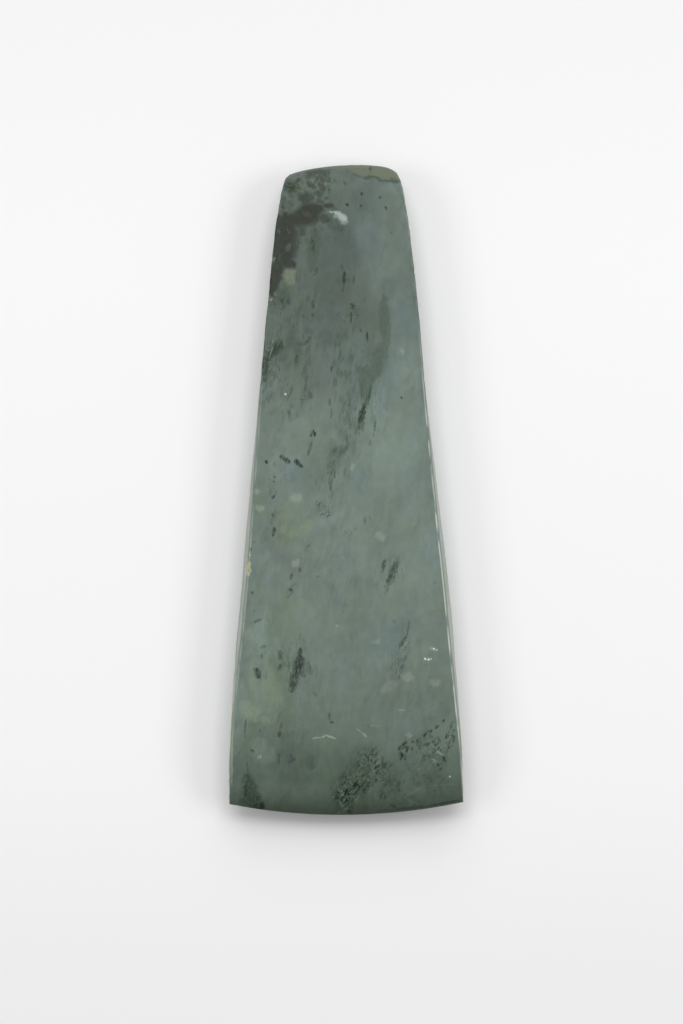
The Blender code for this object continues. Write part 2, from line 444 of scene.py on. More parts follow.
def makeStone(material):
    tree = bpy.data.node_groups.new("stoneBody", "GeometryNodeTree")
    tree.interface.new_socket("Geometry", in_out="OUTPUT", socket_type="NodeSocketGeometry")
    sockets = {
        name: tree.interface.new_socket(name, in_out="INPUT", socket_type="NodeSocketFloat")
        for name in stoneSizes
    }
    desk = Wire(tree)
    entry = tree.nodes.new("NodeGroupInput")
    size = {name: Wire(tree, entry.outputs[name]) for name in stoneSizes}
    grid = stoneGrid
    rows = grid["domeRows"] + grid["bodyRows"] + grid["wearRows"] + 1
    corners = {"Size X": 1.0, "Size Y": 1.0, "Vertices X": grid["columns"] + 1, "Vertices Y": rows}
    body = desk.node("GeometryNodeMeshGrid", None, corners)
    point, zones = stoneLaw(desk, size, grid)
    for name, value in zones.items():
        body = desk.node(
            "GeometryNodeStoreNamedAttribute",
            {"data_type": "FLOAT", "domain": "POINT"},
            {"Geometry": body, "Name": name, "Value": value},
        )
    body = desk.node("GeometryNodeSetPosition", None, {"Geometry": body, "Position": point})
    body = desk.node("GeometryNodeMergeByDistance", None, {"Geometry": body, "Distance": grid["weld"]})
    inwards = desk.node(
        "ShaderNodeVectorMath",
        {"operation": "SCALE"},
        {0: desk.node("GeometryNodeInputNormal"), "Scale": -stoneRelief(desk, size)},
    )
    body = desk.node("GeometryNodeSetPosition", None, {"Geometry": body, "Offset": inwards})
    body = desk.node("GeometryNodeRealizeInstances", None, {"Geometry": body})
    body = desk.node("GeometryNodeSetMaterial", None, {"Geometry": body, "Material": material})
    leaving = tree.nodes.new("NodeGroupOutput")
    body.feed(leaving, "Geometry")

    blank = newObject("blank", bpy.data.meshes.new("blank"))
    growing = blank.modifiers.new("body", "NODES")
    growing.node_group = tree
    for name, value in stoneSizes.items():
        growing[sockets[name].identifier] = value
    bpy.context.view_layer.update()
    grown = blank.evaluated_get(bpy.context.evaluated_depsgraph_get())
    mesh = bpy.data.meshes.new_from_object(grown)
    bpy.data.objects.remove(blank)
    stone = newObject("polishedStone", mesh)
    mesh.shade_smooth()
    print("stone grown:", len(mesh.vertices), "points")
    return stone


def seen(red, green, blue, sheen=0.035):
    # the stone's own colour, from how it looks (0 to 255) under the soft light
    def own(value):
        value = value / 255
        value = value / 12.92 if value <= 0.04045 else ((value + 0.055) / 1.055) ** 2.4
        return max(value - sheen, 0.004)

    return (own(red), own(green), own(blue), 1.0)


# Places on the stone are millimetres: across from its middle, then along towards the butt.
stoneLook = {
    # lighter over the middle than towards the butt and the edge: partly the stone's own tone, partly a
    # painted sheen
    "middle tone and painted sheen": seen(117, 130, 122),
    # a tone, where it starts along the stone and where it is full
    "butt tone": (seen(99, 110, 104), 8, 58),
    "blade tone": (seen(104, 117, 107), -42, -84),
    "edge tone": (seen(80, 89, 79), -87, -95),
    # the shoulders' tones are partly paler ground stone and partly painted sheen; the arris tone is a
    # painted highlight along the worn arris
    # a tone, and how far it covers
    "shoulder tone and sheen": (seen(178, 184, 176), 0.9),
    "bright streak": (seen(178, 184, 176), 0.75),
    "groove tone": (seen(134, 143, 134), 0.7),
    "arris highlight tone": (seen(196, 201, 193), 1.0),
    "streak lean": math.radians(-9),
    # a pattern's grain in millimetres, detail, roughness, seed, and how far it lightens and darkens
    "clouds": ((9, 16, 9), 3, 0.5, 11, 0.45),
    "mottles": ((2.4, 3.6, 2.4), 3, 0.5, 13, 0.40),
    "strands": ((1.5, 5.5, 2.0), 3, 0.55, 12, 0.34),
    "wisps": ((0.6, 1.8, 0.9), 2, 0.5, 18, 0.10),
    "grain": (0.4, 1, 0.5, 14, 0.045),
    "fleck darkness": 0.20,
    "streak wander": 3.5,
    "grains": {  # of what else changes over the stone
        "wander": (7, 10, 7),
        "hue": (10, 18, 10),
        "busy": (11, 17, 11),
        "fleck patches": (9, 14, 9),
        "wear": (3, 9, 3),
        "gaps": (2.6, 3.8, 2.6),
        "dashes": (0.45, 1.5, 0.6),
        "waves": (3.0, 6.0, 3.0),
    },
    "dash lean": math.radians(-16),
    "bluish": (0.98, 1.0, 1.03, 1.0),
    "yellowish": (1.0, 1.0, 0.94, 1.0),
    "bump": {"waves": 0.012, "wisps": 0.0025, "flecks": 0.010, "grain": 0.0012},
    # a mark's rim: grain in millimetres, how far it strays, how far noise eats into it, seed
    "rims": {
        "broad": ((7, 10, 7), 7.0, 9.0, 5),
        "soft": ((2.2, 3.2, 2.2), 2.4, 2.6, 4),
        "fine": ((1.3, 2.2, 1.3), 2.2, 4.5, 6),
        "edge": ((0.6, 1.2, 0.6), 0.8, 1.3, 7),
    },
    "roughness": 0.55,
    "rind roughness": 0.62,
    "gloss": 0.35,
}

# Each kind of mark: its colour, how much of it is full core, which rim it has, how far it is broken
# into dashes, and whether it runs on over the sides and the back.
cloud = {"blend": "MULTIPLY", "core": 0.1, "ragged": "broad", "through": True}
stoneMarks = {
    "lightClouds": {"colour": (1.38, 1.38, 1.39, 1.0), **cloud},
    "darkClouds": {"colour": (0.70, 0.71, 0.70, 1.0), **cloud},
    "blueClouds": {"colour": (0.98, 1.0, 1.09, 1.0), **cloud},
    "oliveClouds": {"colour": (0.96, 0.98, 0.84, 1.0), **cloud},
    "greenPatches": {"colour": seen(136, 151, 128), "dashed": 0.55, "core": 0.0, "ragged": "soft"},
    "oliveBands": {
        "colour": seen(78, 92, 78), "dashed": 0.35, "core": 0.12, "ragged": "fine", "through": True,
    },
    "darkGreens": {
        "colour": seen(62, 74, 62), "dashed": 0.7, "core": 0.08, "ragged": "fine", "through": True,
    },
    "brownPatches": {
        "colour": seen(64, 67, 61), "dashed": 0.12, "core": 0.2, "ragged": "soft", "through": True,
    },
    "mottle": {
        "colour": seen(70, 76, 68), "dashed": 0.45, "core": 0.0, "ragged": "fine", "through": True,
    },
    "dust": {"colour": seen(118, 118, 106), "core": 0.0, "ragged": "fine"},
    "rind": {"colour": seen(113, 118, 101), "core": 0.2, "ragged": "fine", "through": True},
    "rindLine": {"colour": seen(80, 89, 77), "core": 0.1, "ragged": "soft", "through": True},
    "ochre": {"colour": seen(134, 143, 118), "dashed": 0.3, "core": 0.4, "ragged": "fine"},
    "pale": {"colour": seen(150, 161, 148), "dashed": 0.3, "core": 0.08, "ragged": "fine"},
    "wisp": {"colour": seen(176, 186, 180), "core": 0.0, "ragged": "edge"},
    "scratches": {"colour": seen(150, 162, 146), "core": 0.25, "ragged": "edge"},
    "cream": {"colour": seen(176, 180, 150), "core": 0.2, "ragged": "fine"},
    "ink": {"colour": (0.003, 0.013, 0.004, 1.0), "dashed": 0.6, "core": 0.05, "ragged": "edge"},
    "glints": {"colour": seen(222, 228, 222), "core": 0.2, "ragged": "edge"},
}

# Each mark runs from one place to another: across, along, across, along, width, strength.
markPlaces = {
    "lightClouds": [
        (14, 88, 15, 54, 13, 0.95), (18, 54.4, 17, 28, 12, 0.8), (16.8, 32, 11, 2, 15, 0.5),
        (6, 80, 7, 68, 6, 0.6), (-14, 22, -20, 4, 7, 0.4), (-2, -8, -4, -24, 12, 0.3),
        (-31.6, -54, -32.4, -78, 5, 0.6), (-25.5, -38, -25, -65, 5.5, 0.55),
        (-26, -74, -23.6, -79.6, 4.4, 0.8), (-22.5, -60, -21.5, -67, 3.2, 0.5),
        (-22.8, -18, -22.8, -26, 4, 0.4), (-20.8, -43, -20.8, -48, 2.8, 0.4), (20, 8, 22, -36, 10, 0.2),
    ],
    "darkClouds": [
        (-2.6, 76, -5, 56, 12, 0.55), (-8, 56, -7, 42, 8, 0.35), (13.3, 62, 12.5, 55.5, 4, 0.5),
        (-16, 44, -12, 30, 8, 0.35), (-13.8, 75.2, -13.8, 71.8, 3.2, 0.5), (-10, 66, -10, 61, 3.4, 0.4),
        (-18.2, 50, -17.6, 45, 3.2, 0.5), (14, -62, 24, -58, 9, 0.3), (-22, -75, -12, -85, 9, 0.35),
        (24, -85, 33, -90, 7, 0.5),
    ],
    "blueClouds": [
        (5.7, 78.5, 5.2, 70.5, 6, 0.9), (16.8, 54, 16.8, 46.5, 7, 0.9), (-4.2, 55.5, -3.6, 50, 5, 0.9),
        (5.7, 57.7, 5.7, 53.5, 2.6, 0.9), (-16.1, 8, -16.1, 4, 4, 0.9), (4.6, 6, 2.5, -1, 5, 0.8),
        (26.2, -11.5, 25.6, -21, 6, 0.8), (-27.4, -33, -27.4, -38, 4, 0.6), (21, -62, 17, -70, 7, 0.7),
        (9, 30, 9, 20, 4, 0.6), (25, -57, 24.6, -64, 5, 0.8), (14.5, 33, 15.8, 25, 5, 0.7),
        (-5.3, -9, -5, -17, 5, 0.6), (7.5, -3, 6.9, -11, 4, 0.6), (11, -38, 9, -52, 6, 0.5),
    ],
    "oliveClouds": [
        (-18, -30, -20, -72, 9, 0.8), (-14, -4, -18, -15, 7, 0.8), (18, -9, 20, -15, 5, 0.5),
        (24.4, -33, 26.2, -36, 5, 0.5), (-6, -70, 2, -92, 14, 0.5), (4, -69, 9, -70, 2, 0.8),
        (-24, 3, -25, -8, 4, 0.7), (18.6, 66.4, 19.2, 63, 1.6, 0.7), (-20, -35, -19.6, -37.4, 2.5, 0.9),
        (-17, 61, -16.4, 57, 3.2, 1), (-13.2, 57, -13.2, 53, 3, 0.8), (-14, 90, -12, 87, 4, 1),
        (-25.5, -27, -24, -33, 3.5, 0.8), (-27.5, -45, -28, -80, 3.5, 0.7), (29.1, -77, 29, -82, 3, 0.8),
    ],
    "greenPatches": [
        (-23.6, -56, -19.6, -61.4, 4.4, 0.45), (-22.2, -52, -21.6, -56, 2.2, 0.35),
        (-29.8, -62.4, -26.4, -66.8, 3.6, 0.6), (-13.3, -32, -9.1, -36.5, 2.2, 0.3),
        (-25, -66.4, -22, -68, 2, 0.4), (-16.6, -13.4, -11, -11, 2.6, 0.32),
        (-18.4, -5, -18.9, -13, 2.4, 0.12), (26, -16, 28.6, -30, 2.4, 0.15),
    ],
    "oliveBands": [
        (10.9, 57, 11.4, 40, 2.6, 0.58), (11.9, 52, 11.9, 42, 1.6, 0.6), (10.6, 43, 8.9, 33.5, 3.4, 0.6),
        (5.9, 36, 5.6, 26, 3, 0.6), (8.9, 36, 6.8, 30, 1.6, 0.45), (5.2, 24.4, 3.9, 19.2, 1.5, 0.85),
        (-10.7, 28.8, -10.5, 26.4, 1.1, 0.75), (0, 12.4, -4.7, 10, 2.6, 0.45),
        (-3, 10.5, -4.8, 5, 3.2, 0.4), (-19.1, 57.6, -17.6, 54.4, 3.4, 0.6),
        (-4.8, 89.2, -5.1, 85.7, 0.9, 0.5), (5.4, 56.5, 5.2, 54.4, 0.9, 0.4),
        (-24.5, -15.6, -23, -11, 2, 0.25), (15.6, 86, 17, 84, 1, 0.25), (-9.9, 73.6, -9.4, 69, 1.2, 0.5),
        (-8.6, 76, -10.2, 63.5, 2.6, 0.55), (-13.6, 74.4, -14.7, 68.6, 0.7, 0.7),
    ],
    "darkGreens": [
        (14.6, -21, 12.4, -27.4, 1.9, 0.6), (11.3, -20.2, 10.4, -24.4, 0.8, 0.65),
        (5.1, 23.6, 4.1, 19.8, 1.6, 0.95), (6, 26.6, 5.2, 22.8, 1.5, 0.7), (4.9, 20.4, 4.6, 17, 1.1, 0.5),
        (6.4, 28, 5.4, 24.2, 0.8, 0.65), (3.9, 19.6, 3.2, 16.4, 0.7, 0.65), (0.6, 13, -3, 9.4, 1.2, 0.3),
        (-3.2, 9.4, -5.4, 1, 1.2, 0.35), (-19, 42.8, -22.6, 39.2, 2.8, 1),
        (-22.6, 41, -24.2, 31.5, 1.8, 0.9), (-5.4, 78.2, -1.4, 75.6, 2.4, 0.45),
        (-4.6, 82.6, -2.8, 81.4, 1.2, 0.45), (-20.5, 34.6, -20.6, 31.6, 0.6, 0.5),
        (-22.2, 29.1, -22.8, 25, 1.6, 0.4), (-19.05, 56.4, -19.1, 53.4, 0.9, 0.75),
        (-16.5, 56.5, -17.2, 53.9, 0.7, 0.65), (-19, 53.5, -17.2, 53.6, 0.8, 0.6),
        (-17.6, 89, -15.3, 88, 3, 1), (-18.3, 85.6, -18.5, 82.3, 1.5, 0.65), (-11.7, 82, -11.7, 78, 3, 0.4),
        (-28.75, -79.7, -28.9, -88, 1.4, 0.45), (-28.9, -83, -27.2, -93.6, 3.6, 0.7),
        (-26.4, -88.5, -25.2, -94.5, 2.6, 0.8), (-30.5, -90, -29.5, -94, 2.4, 0.5),
        (-10, -77.6, -10.4, -81.3, 2.3, 0.35), (6, -76, 2, -88, 8, 0.4), (0, -84, -1.5, -92, 6, 0.45),
        (12, -80, 14, -90, 5, 0.25),
    ],
    "brownPatches": [
        (-14.8, 80.4, -7, 82, 3.6, 0.95), (-14.6, 78, -8.4, 79.6, 3.4, 0.95),
        (-6.4, 83, -4, 82.6, 1.6, 0.85), (-17.8, 80, -17.6, 66, 5.6, 0.95),
        (-16.4, 79, -13.8, 77.8, 4, 0.95), (-19.6, 80.4, -20.6, 66, 2.4, 0.9),
        (-20.2, 67, -21.6, 57.4, 2.8, 0.9), (-19, 67, -20.2, 60.4, 2.8, 0.9),
        (-18.6, 66.2, -15.2, 65.4, 2.2, 0.9), (-12.6, 85.6, -11.2, 83.4, 2.4, 0.75),
        (-7.6, 79.8, -5.2, 78.6, 1.8, 0.7), (-13, 77.4, -12.8, 74, 1.8, 0.6),
        (-8.8, 84.6, -6.8, 83.8, 1.4, 0.6),
    ],
    "mottle": [
        (-14.4, 89, -13.8, 91, 0.9, 0.6), (-13.8, 91, -12.4, 90.6, 0.8, 0.5),
        (-12.4, 92.3, -5.4, 93.2, 1.7, 0.85), (-11.2, 89.4, -9.2, 87.8, 1.5, 0.8),
        (-12, 86.8, -9.8, 84.8, 1.7, 0.8), (-8.2, 89.4, -6.6, 86.8, 1.4, 0.7),
        (-6.8, 92.6, -5.4, 91, 1.2, 0.8), (-5.4, 89, -4.6, 86.8, 0.9, 0.7),
        (-9.6, 86.8, -7.4, 85.4, 1.4, 0.7), (-14.4, 86.6, -12.8, 84.6, 1.6, 0.75),
        (-8.9, 91.2, -7.5, 90.3, 1, 0.6), (-16.9, 84.8, -15.6, 82.4, 1.2, 0.5),
        (-10.9, 91.2, -10.2, 89.8, 0.9, 0.5), (-6.6, 85.2, -4.6, 84.4, 1, 0.6),
        (-16.8, 87, -15.6, 85.2, 1.6, 0.7), (-18.4, 84, -18.4, 82, 1.2, 0.5),
    ],
    "dust": [
        (-17.2, 75.6, -17, 74.9, 0.7, 0.6), (-16.4, 71.6, -17.4, 69.6, 1.3, 0.35),
        (-21.1, 57.4, -20.4, 56, 0.4, 0.6), (-19.6, 76.4, -19.9, 74.6, 0.7, 0.3),
        (-12.6, 80.6, -10.4, 79.8, 1.3, 0.2),
    ],
    "rind": [
        (-4, 93.9, 1.8, 93.9, 1.4, 0.6), (1, 93.6, 7.6, 93, 2.6, 0.75), (6.9, 93, 16.2, 91.6, 2.6, 0.95),
        (8.5, 93.6, 13.5, 93.4, 1.4, 0.8),
    ],
    "rindLine": [
        (1.6, 92.2, 4.4, 91, 0.7, 0.6), (4.4, 91.1, 8.4, 91, 0.9, 0.85), (8.2, 91, 10.6, 90, 0.9, 0.8),
        (10.4, 90.1, 16.4, 90.2, 0.9, 0.8), (7, 94.4, 7.2, 92.2, 0.5, 0.5), (-0.8, 93, 2, 92.4, 0.6, 0.35),
    ],
    "ochre": [
        (-18, 62.6, -15, 63, 2.6, 0.54), (-17, 61.2, -15.4, 60.9, 2.2, 0.5),
        (-13.1, -12.4, -10.3, -9.8, 1.4, 0.25), (-11.7, -11.1, -10.4, -9.3, 1.8, 0.55),
        (-17.9, -5, -18.5, -12.6, 1.8, 0.12), (-9.2, 21.4, -9.3, 19.6, 0.6, 0.6),
        (20.5, -9.5, 19.5, -10.6, 0.9, 0.55), (14.9, -64.2, 17.4, -64.1, 0.45, 0.5),
        (-32.9, -62, -33.4, -76, 1, 0.6), (24.5, -34.3, 26.2, -34.8, 1, 0.4),
        (-13, -2, -12.6, -3.4, 1, 0.5), (27.2, -7, 29.8, -37, 0.9, 0.25),
    ],
    "pale": [
        (-20.6, 45.4, -21.7, 42.5, 0.35, 0.6), (-21.7, 42.5, -23.6, 38.7, 0.4, 0.75),
        (16.2, 41, 16.4, 39.3, 1.1, 0.45), (2.2, 7.7, 1.4, 5.3, 0.9, 0.6),
        (-15.9, -2.4, -13.6, -2.2, 2.2, 0.6), (-25.6, -5.4, -24.8, -5.7, 1.9, 0.6),
        (-26.5, 0.2, -25.8, -1.2, 1.3, 0.6), (4.5, -7.1, 4.5, -8.8, 0.35, 0.6),
        (6.4, -11.4, 8.4, -11.7, 0.4, 0.6), (8.7, -12.6, 11.3, -14.6, 1.8, 0.45),
        (-15.8, -22.8, -13.8, -20.2, 1.5, 0.6), (-1.1, -18.1, -1.3, -20.8, 0.4, 0.4),
        (21.9, -13.8, 22.1, -16.4, 0.45, 0.4), (16.8, -18.7, 18, -18.4, 0.7, 0.4),
        (-3.3, -39.4, -1.6, -39.9, 0.6, 0.5), (7.6, -44.7, 10, -43.8, 1.2, 0.35),
        (17.7, -44.2, 15.6, -46.7, 0.5, 0.6), (16.7, -54.3, 19.4, -54.6, 2.3, 0.4),
        (16.9, -55.4, 18.8, -55.5, 0.7, 0.6), (24.8, -56.5, 26.6, -56, 2.1, 0.38),
        (25.7, -57.1, 27.2, -56.6, 0.6, 0.5), (10.4, -58.7, 14.5, -56.1, 2.2, 0.25),
        (17.4, -71.2, 19.2, -71.8, 1.1, 0.45), (24.2, -46.2, 26.2, -46.5, 1.1, 0.55),
        (22.2, -50, 24.4, -49.2, 0.8, 0.4), (-28, -40, -28.3, -44, 1.5, 0.3),
        (-1, 50.7, -1.6, 49.9, 0.6, 0.2),
    ],
    "wisp": [
        (-5.2, 80.9, -2.8, 80.9, 0.6, 0.5), (-3.4, 80.9, -1.4, 80, 1.1, 0.75),
        (-2, 80, -0.2, 78.6, 1.7, 0.8), (-1.4, 78.6, -0.4, 77.6, 1.3, 0.4),
        (-3.6, 79.8, -2.6, 79.4, 0.7, 0.35), (0, 78.6, 0.4, 77.8, 0.6, 0.35),
    ],
    "scratches": [
        (-10, -72.4, -7.4, -72.2, 0.4, 0.7), (-7.5, -72.2, -5.8, -71.5, 0.45, 0.8),
        (-5.9, -71.5, -3.1, -72.5, 0.5, 0.9), (2.6, -69.1, 4.6, -70.9, 0.35, 0.55),
        (4.5, -70.8, 6, -72, 0.4, 0.7), (6.4, -68.7, 10.2, -68.8, 0.35, 0.2),
        (17, -89.4, 23, -86.4, 0.4, 0.14), (23, -86.4, 33, -85.8, 0.4, 0.12),
        (15.2, -64.2, 17.6, -64.1, 0.35, 0.3), (-22.6, 38, -21, 43, 0.35, 0.5),
        (25.4, -75.8, 28.4, -77.4, 0.5, 0.6), (24.6, -78.2, 27, -79.6, 0.45, 0.5),
        (28.6, -75, 30.4, -73, 0.4, 0.45), (-33.2, -70, -33.4, -87, 0.5, 0.6),
        (-32, -56, -33.1, -72, 0.5, 0.3),
    ],
    "cream": [
        (-28.55, -21, -28.6, -24.9, 1.25, 1), (-25.5, -77.5, -25, -78.5, 0.7, 0.7),
        (-20.8, 67.8, -20.9, 67.3, 0.6, 0.7), (-21.9, 55.8, -22, 55.2, 0.6, 0.8),
        (-28.1, -18.8, -28.2, -19.2, 0.5, 0.7),
    ],
    "ink": [
        # near the butt
        (4.5, 86.5, 4.7, 85.9, 0.7, 0.98), (9.8, 85.4, 9.9, 84.9, 0.75, 0.78),
        (0.2, 83.3, 0.3, 82.8, 0.75, 1), (4.3, 83.1, 4.35, 82.5, 0.65, 0.85),
        (11.3, 82.7, 11.85, 81.5, 0.55, 0.78), (-0.65, 90, -0.1, 88.7, 0.8, 0.45),
        (13, 75.2, 13.1, 74.7, 0.6, 0.33), (14.8, 87.4, 15.2, 87.1, 0.5, 0.26),
        (-10.1, 73.5, -9.6, 69.2, 1, 0.52), (-8.5, 64.7, -8.8, 62.8, 0.6, 0.59),
        (-9.7, 62.8, -8.6, 62.6, 0.5, 0.52), (-0.5, 63.6, -0.7, 59.8, 0.9, 0.85),
        (-0.7, 60, -1.2, 57.2, 0.6, 0.39), (-1.8, 65.8, -0.5, 63.6, 0.6, 0.39),
        (0.75, 62, 0.75, 60, 0.6, 0.33), (2.25, 62.3, 2.1, 60, 0.6, 0.39),
        (-11, 56.5, -11.2, 55, 0.8, 0.39), (-9.85, 55.3, -9.6, 52.7, 0.8, 0.59),
        (-9.65, 51.5, -9.85, 50.4, 0.7, 0.52), (-12.6, 51, -12.3, 50.1, 0.6, 0.33),
        (1.2, 54.2, 2.5, 53.3, 0.6, 0.91), (1.1, 53, 2.4, 52.6, 0.5, 0.85),
        (1.9, 54.3, 1.95, 52.5, 0.55, 0.91), (1.35, 52.1, 1.45, 48.4, 0.45, 0.85),
        (3.3, 51.1, 3.35, 50.8, 0.5, 0.78), (4.1, 46.7, 4.2, 46.1, 0.6, 0.65),
        (4.7, 40.6, 4.8, 40.2, 0.6, 0.33), (6, 46.3, 6.2, 42.6, 0.6, 0.85),
        (7, 94.4, 7.1, 92.8, 0.45, 0.52), (-5, 93.8, -5.05, 91.5, 0.5, 0.59),
        # above the middle
        (-10.3, 44.8, -11.2, 43.5, 0.7, 0.52), (-11.1, 43.4, -12.6, 42.4, 1, 0.59),
        (-12.3, 42.4, -14, 42.2, 1, 0.59), (-14.25, 39.3, -14.7, 36.9, 0.7, 1),
        (-4.2, 36.1, -4.5, 34.3, 0.6, 0.65), (16.05, 27, 16.1, 26.6, 0.6, 0.91),
        (7.2, 31, 6.6, 25.8, 0.5, 0.65), (4.3, 31.1, 4.45, 25.8, 0.45, 0.33),
        (5.2, 24.4, 4.3, 22.2, 0.8, 0.78), (4.4, 21.5, 3.6, 19.3, 0.9, 0.59),
        (8.6, 20.3, 8.25, 17, 0.5, 0.59), (8.1, 16.5, 7.6, 15.4, 0.4, 0.45),
        (7.15, 14.5, 6.75, 12.8, 0.4, 0.45), (-12.9, 26.4, -12.8, 26, 0.6, 0.65),
        (-4.8, 26.5, -4.75, 24.2, 0.6, 0.52), (-4.2, 23.8, -4.45, 20.7, 0.5, 0.39),
        (-3, 28.8, -3.3, 25, 0.5, 0.26), (-9.5, 17.4, -10.4, 15.5, 0.75, 1),
        (-9.1, 16.8, -9.25, 15.3, 0.6, 1), (-10, 13.9, -11.3, 9.9, 0.7, 0.52),
        (-21.4, 10.4, -21.3, 10.1, 0.55, 0.52), (-23.4, 8.3, -23.1, 7.7, 0.8, 1),
        (-19.3, 9.8, -17.9, 9, 1, 0.78), (-18.2, 9, -16.5, 8, 1.2, 0.91), (-14.9, 8.5, -13.9, 7.5, 1.3, 1),
        (-14.4, 7.8, -12.8, 6.6, 0.9, 0.91), (-21.1, 3.9, -21, 3.6, 0.55, 0.85),
        (-21.2, 2.6, -21.2, 2.2, 0.5, 0.65), (-22.4, 3.2, -22.3, 2.9, 0.4, 0.45),
        (-21.7, -2.4, -20.9, -1.8, 0.8, 0.78), (-21.5, -6.8, -21.3, -7.9, 0.7, 0.52),
        (-20.85, -10.9, -21.3, -13.6, 0.8, 0.78), (-21, -12.1, -21.2, -12.8, 0.8, 0.78),
        (-4.3, 3.3, -4.75, -0.6, 0.6, 0.45), (-3.35, 5.8, -3.5, 3.2, 0.5, 0.45),
        (-2.7, 12.2, -4.2, 10.8, 0.9, 0.26),
        # below the middle
        (5.45, -8, 5.35, -10.2, 0.6, 0.45), (6.6, -7.6, 7.2, -9, 0.5, 0.25),
        (11.6, -20.4, 10.7, -21.1, 0.6, 0.5), (10.7, -21.1, 10.55, -22.8, 0.7, 0.5),
        (15, -20.4, 13.3, -24, 0.7, 0.35), (13.9, -22.8, 12.3, -26.6, 1.1, 0.4),
        (13.2, -25.2, 11.7, -26.9, 0.9, 0.6), (12.07, -28.5, 12.1, -29.4, 0.6, 0.3),
        (11.3, -27.5, 11, -28.4, 0.4, 0.4), (-15.9, -24.4, -16.05, -26.2, 0.8, 0.6),
        (-13.4, -22.7, -13.7, -23.9, 0.7, 0.6), (-16.1, -29, -16.3, -29.3, 0.6, 0.75),
        (-9, -25.1, -7.6, -25.4, 0.6, 0.3), (-27, -15.1, -26.9, -15.5, 0.7, 0.45),
        (-27.85, -16.5, -28, -18, 0.5, 0.55), (-27.5, -29.6, -27.2, -30.4, 0.5, 0.65),
        (-26.9, -38.6, -24.8, -37.8, 0.8, 0.5), (25.6, -26.9, 26, -27.5, 0.7, 0.25),
        (13.6, -38, 14.2, -38.8, 0.6, 0.3), (-28.35, -22.9, -28.4, -24, 0.35, 0.4),
        # the tree
        (-13.5, -41.8, -13.5, -44, 0.4, 0.3), (-13.3, -46, -13.7, -49.2, 1, 0.9),
        (-13.3, -48.6, -14.4, -53.6, 2.5, 0.9), (-14.6, -52.2, -15.9, -59, 2, 0.75),
        (-13.9, -49.4, -12.2, -54.6, 1.8, 0.5), (-12.9, -49.2, -10.2, -54, 1.3, 0.3),
        (-12.6, -51, -13.1, -54.2, 0.8, 0.4), (-11.2, -49.8, -9.9, -53.8, 0.7, 0.4),
        (-16, -56.8, -16.4, -59, 1.2, 0.45), (-9.9, -59.1, -8.4, -60, 0.9, 0.25),
        (-24.8, -46.1, -23.5, -45.4, 0.8, 0.45), (-24.5, -47.9, -24.6, -49.2, 0.6, 0.45),
        (-27.2, -52.1, -25.6, -52.3, 0.5, 0.45), (-26.2, -52, -25.4, -54.9, 1.4, 0.85),
        (-19.2, -46.8, -19.2, -49.5, 1, 0.55), (-19.2, -50.9, -19.5, -52.5, 1, 0.6),
        # the two fissures
        (18.4, -37.8, 17.6, -42.8, 0.5, 0.45), (17.6, -42.6, 15.2, -46.2, 0.75, 0.7),
        (17.5, -48.3, 16.3, -52, 0.5, 0.4), (16.5, -50.9, 15.7, -53.6, 0.9, 0.45),
        (15.5, -53.8, 15.1, -55.4, 0.5, 0.35),
        # towards the edge
        (-29.25, -66.6, -29.65, -72.5, 0.55, 0.5), (-18.75, -67.8, -19.4, -70.8, 0.6, 0.4),
        (-19.2, -70.4, -19.7, -72, 1.1, 0.65), (-19.6, -76.7, -19.7, -80, 0.8, 0.35),
        (-17, -79.6, -14.8, -78.3, 0.9, 0.4), (-16.3, -77.1, -15.8, -79, 0.7, 0.45),
        (-25.4, -69.8, -24.4, -70.8, 0.7, 0.35), (-28, -75.7, -26.7, -76.4, 0.7, 0.6),
        (-5.05, -65, -4.8, -67.3, 0.6, 0.45), (-4.7, -67.7, -3.7, -67.7, 0.5, 0.7),
        (6.2, -68.3, 6.6, -69.2, 0.5, 0.3), (5.6, -60.8, 5.55, -62.4, 0.45, 0.25),
        (17.6, -73.4, 16.4, -74.4, 0.7, 0.9), (15.8, -74.6, 15.2, -76, 0.7, 0.8),
        (18.2, -74.6, 17.4, -76.6, 0.7, 0.8), (16.2, -76.6, 15.8, -78.8, 0.8, 0.95),
        (19.8, -73.6, 18.8, -73.2, 0.5, 0.7), (21.4, -72.4, 20.4, -73.4, 0.6, 0.6),
        (19.4, -75, 18.8, -76.2, 0.5, 0.6), (17.3, -77.6, 17, -78.6, 0.6, 0.8),
        (22.4, -71.8, 23.4, -70.9, 0.75, 0.9), (23.9, -70.6, 24.9, -70, 0.7, 0.8),
        (25.8, -69.6, 27, -68.6, 0.65, 0.8), (24.6, -71.8, 25.4, -72.4, 0.45, 0.7),
        (22, -74.4, 21.4, -75.6, 0.5, 0.6), (26.6, -72, 27.4, -73.4, 0.45, 0.6),
        (28.2, -67.6, 28.5, -67.1, 0.7, 0.85), (29.2, -71, 29.1, -72.6, 0.6, 0.8),
        (28.2, -77.7, 28.8, -79.2, 0.6, 0.8), (25.4, -75.2, 26, -76.2, 0.7, 0.7),
        (30.2, -74.2, 30, -75.4, 0.6, 0.6), (24.2, -73.6, 23.6, -74.6, 0.6, 0.6),
        (-29.3, -86, -29.5, -90, 0.5, 0.8), (-24.6, -91.4, -24.4, -93.9, 1.1, 1),
        (-27, -92, -24.7, -93.2, 1, 0.7), (-30.1, -90.3, -29.3, -92.2, 0.9, 0.4),
        (8, -94, 14.5, -93.4, 0.4, 0.4), (14, -93.4, 24, -92.4, 0.5, 0.6),
        (23.6, -92.4, 33.4, -90.6, 0.5, 0.75), (0, -93.4, 1.4, -94.4, 0.8, 0.8),
        (13, -92, 14.6, -92.8, 0.7, 0.7),
    ],
    "glints": [
        (25.3, -46.3, 25.8, -46.5, 0.4, 1), (26.3, -46.8, 26.6, -46.6, 0.3, 0.9),
        (22.7, -49.1, 23.2, -49.4, 0.4, 1), (23.7, -49.7, 24.1, -49.4, 0.45, 1),
